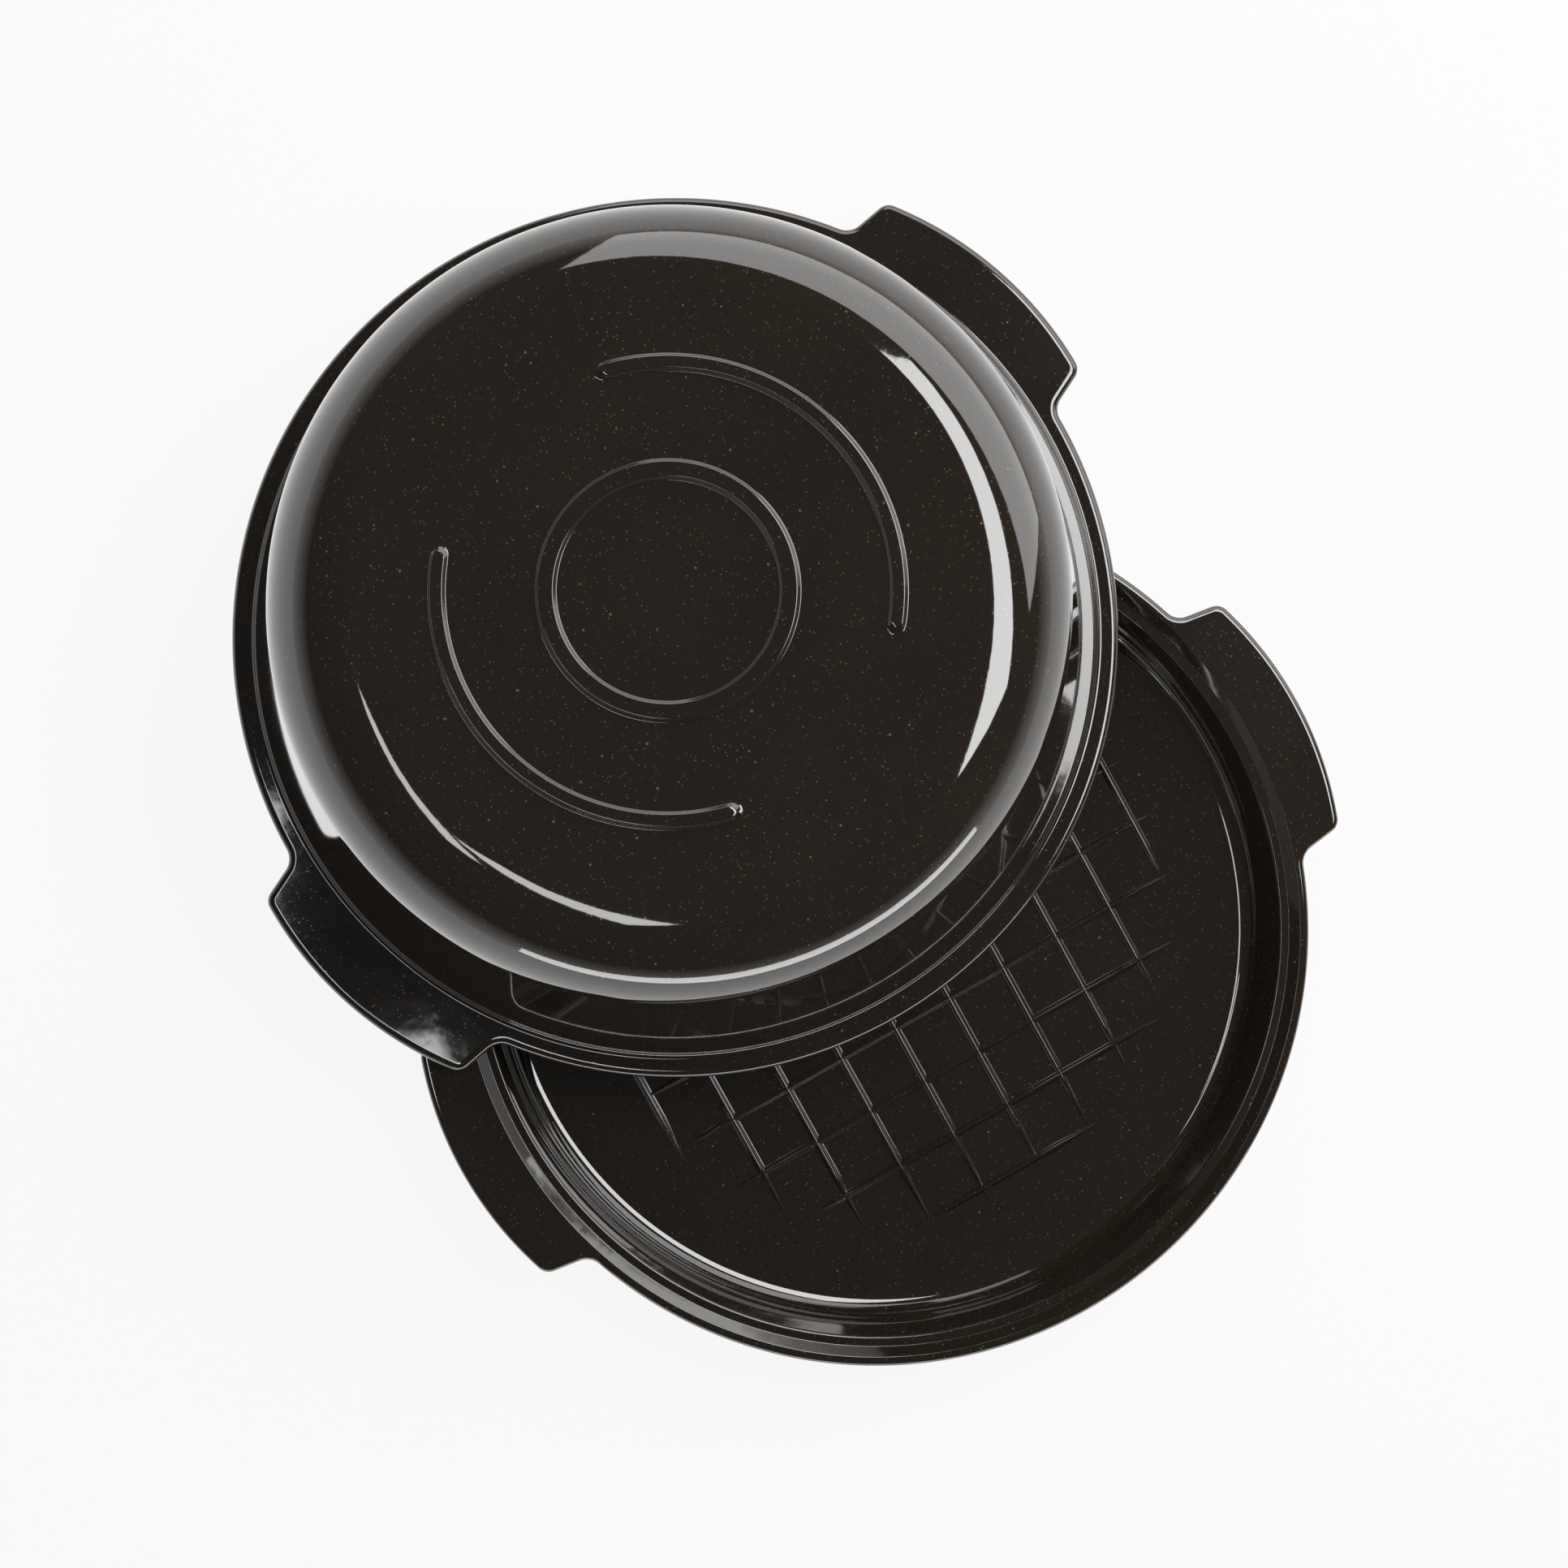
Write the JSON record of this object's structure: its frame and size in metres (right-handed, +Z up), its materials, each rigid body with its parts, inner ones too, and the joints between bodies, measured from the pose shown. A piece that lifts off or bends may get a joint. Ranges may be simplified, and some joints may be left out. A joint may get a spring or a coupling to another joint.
{
  "type": "bread cloche",
  "caption": "Round ceramic bread cloche: a shallow ridged base with two flat handles and a domed cover, shown leaning on the base.",
  "frame": {"origin": "centre of the base's foot ring, on the plane it stands on", "axes": "+Z up, X along the base's two handles, and the taken-off dome lies towards +Y"},
  "size_m": [0.3402, 0.4204, 0.1479],
  "materials": {
    "glaze": "gloss"
  },
  "bodies": {
    "base": {"base": "glaze"},
    "dome": {"dome": "glaze"}
  },
  "joints": [
    {"name": "dome_lift", "type": "slide", "parent": "base", "child": "dome", "axis": [0, 0, 1], "range_m": [0, 0.15]}
  ]
}
